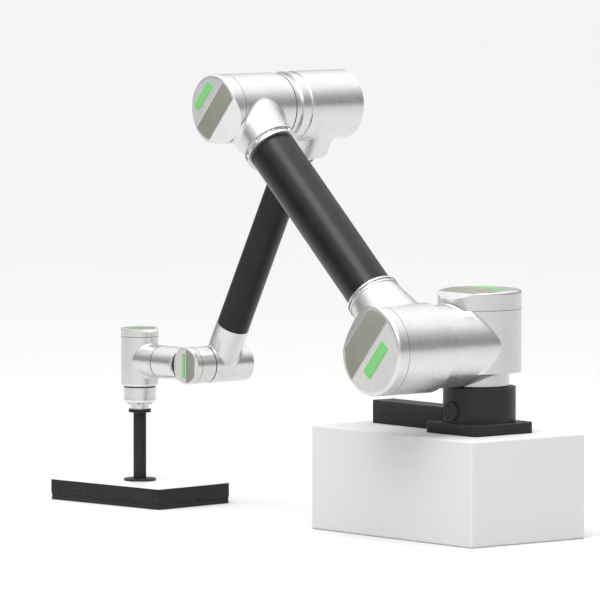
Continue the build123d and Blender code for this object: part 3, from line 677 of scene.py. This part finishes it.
floor = disc_floor()
floor.data.materials.append(pale("pale_floor", (0.62, 0.62, 0.616)))
block = plinth()
block.data.materials.append(pale("pale_plinth", (0.60, 0.60, 0.596)))


# Level directions of the two dark studio flags, to the right and to the left of the camera.
DARK_SIDES = (Vector((-0.701, -0.713, 0.0)), Vector((0.609, 0.793, 0.0)))
DARK_START, DARK_FULL = 0.72, 0.96      # cosine of the angle from a flag's middle
DARK_SHARE = 0.35                       # light left at the middle
SURROUND = 1.4
HORIZON = (0.10, 0.10, 0.102, 1)
MIDDLE_HEIGHT, MIDDLE = 0.22, (0.34, 0.34, 0.345, 1)
OVERHEAD_HEIGHT, OVERHEAD = 0.75, (1.0, 1.0, 1.0, 1)


def dimmed(tree, direction, light, side):
    """The surround's light, darker towards one side."""
    dot = tree.nodes.new("ShaderNodeVectorMath")
    dot.operation = "DOT_PRODUCT"
    dot.inputs[1].default_value = side
    tree.links.new(direction, dot.inputs[0])
    share = tree.nodes.new("ShaderNodeMapRange")
    share.inputs["From Min"].default_value = DARK_START
    share.inputs["From Max"].default_value = DARK_FULL
    share.inputs["To Min"].default_value = 1.0
    share.inputs["To Max"].default_value = DARK_SHARE
    tree.links.new(dot.outputs["Value"], share.inputs["Value"])
    scaled = tree.nodes.new("ShaderNodeVectorMath")
    scaled.operation = "SCALE"
    tree.links.new(light, scaled.inputs[0])
    tree.links.new(share.outputs["Result"], scaled.inputs["Scale"])
    return scaled.outputs["Vector"]


def world_light():
    """Soft studio surround: bright overhead, greyer towards the horizon."""
    world = bpy.data.worlds.new("studio")
    world.use_nodes = True
    tree = world.node_tree
    back = tree.nodes["Background"]
    coord = tree.nodes.new("ShaderNodeTexCoord")
    split = tree.nodes.new("ShaderNodeSeparateXYZ")
    ramp = tree.nodes.new("ShaderNodeValToRGB")
    tree.links.new(coord.outputs["Generated"], split.inputs["Vector"])
    tree.links.new(split.outputs["Z"], ramp.inputs["Fac"])
    light = ramp.outputs["Color"]
    for side in DARK_SIDES:
        light = dimmed(tree, coord.outputs["Generated"], light, side)
    tree.links.new(light, back.inputs["Color"])
    ramp.color_ramp.elements[0].position = 0.0
    ramp.color_ramp.elements[0].color = HORIZON
    ramp.color_ramp.elements[1].position = OVERHEAD_HEIGHT
    ramp.color_ramp.elements[1].color = OVERHEAD
    middle = ramp.color_ramp.elements.new(MIDDLE_HEIGHT)
    middle.color = MIDDLE
    back.inputs["Strength"].default_value = SURROUND
    bpy.context.scene.world = world


def area(name, place, target, size, power):
    """White softbox at a place, aimed at a target."""
    data = bpy.data.lights.new(name, "AREA")
    data.shape = "RECTANGLE"
    data.size, data.size_y = size
    data.energy = power
    obj = bpy.data.objects.new(name, data)
    obj.location = place
    obj.rotation_euler = (Vector(target) - Vector(place)).to_track_quat("-Z", "Y").to_euler()
    bpy.context.scene.collection.objects.link(obj)


LIT_POINT = Vector((0.48, 0.11, 0.27))
SUN_STRENGTH, SUN_SPREAD = 1.26, math.radians(38)
SUN_WAY = Vector((0.35, -0.45, -1.0))
world_light()
area("key", (-1.6, 2.6, 3.4), LIT_POINT, (3.0, 3.0), 84.0)
area("top", (0.9, 0.2, 3.6), LIT_POINT, (3.2, 2.2), 42.0)
sun = bpy.data.lights.new("sun", "SUN")
sun.energy = SUN_STRENGTH
sun.angle = SUN_SPREAD
sun_obj = bpy.data.objects.new("sun", sun)
sun_obj.rotation_euler = SUN_WAY.to_track_quat("-Z", "Y").to_euler()
bpy.context.scene.collection.objects.link(sun_obj)

CAMERA = Vector((-13.460, 11.599, 1.635))
AIM = Vector((0.470, 0.110, 0.262))
camera_data = bpy.data.cameras.new("camera")
camera_data.lens = 500.0
camera_data.sensor_width = 36.0
camera_data.clip_end = 500.0
camera = bpy.data.objects.new("camera", camera_data)
camera.location = CAMERA
camera.rotation_euler = (AIM - CAMERA).to_track_quat("-Z", "Y").to_euler()
bpy.context.scene.collection.objects.link(camera)
bpy.context.scene.camera = camera
bpy.context.scene.view_settings.view_transform = "Standard"
